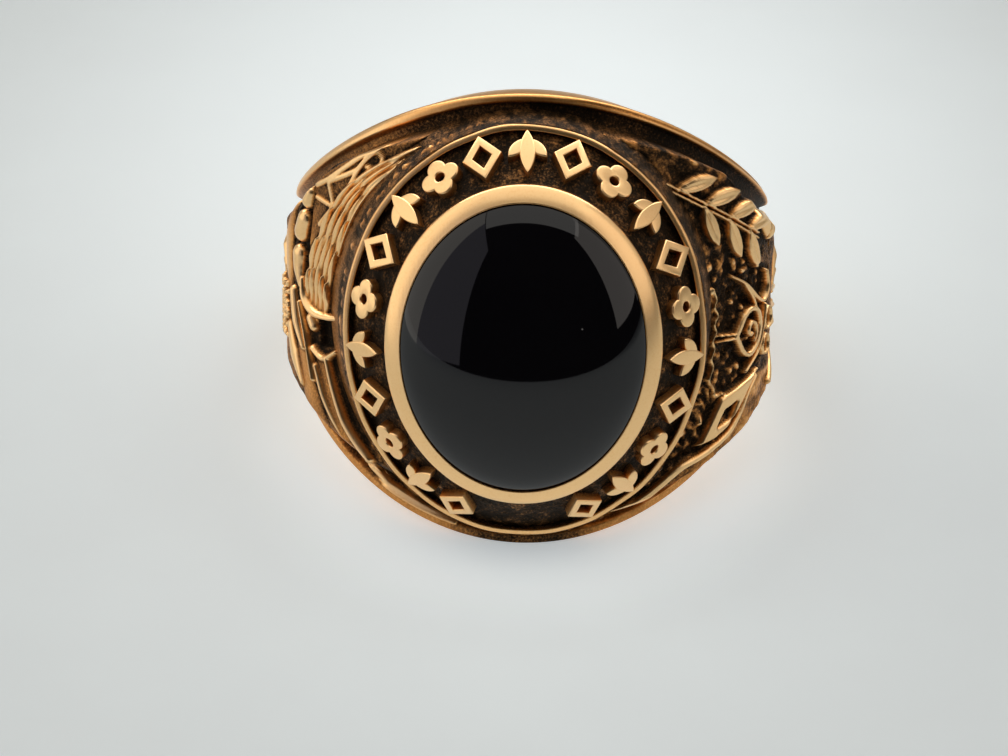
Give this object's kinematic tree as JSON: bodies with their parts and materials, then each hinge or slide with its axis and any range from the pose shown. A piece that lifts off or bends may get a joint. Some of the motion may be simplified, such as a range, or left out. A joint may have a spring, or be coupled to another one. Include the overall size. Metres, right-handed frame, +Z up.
{
  "type": "class ring",
  "caption": "Heavy cast class ring with a domed oval black stone in a polished bezel, a sloped band of raised ornament round it, and carved shoulders.",
  "frame": {"origin": "middle of the base of the bounding box, on the surface that the ring lies on", "axes": "+Z up from that surface; -Y towards the stone's side of the ring and +Y towards the back of the shank; X across the stone, with +X to the right of someone who looks at the stone; the finger hole's axis leans 17.8 degrees from +Z towards +Y"},
  "size_m": [0.021, 0.0258, 0.0176],
  "materials": {
    "gold": "cast 10 karat gold, polished on the raised parts and dark antiqued in the recesses",
    "onyx": "polished black onyx"
  },
  "bodies": {
    "root": {"ring": "gold", "stone": "onyx"}
  },
  "joints": []
}
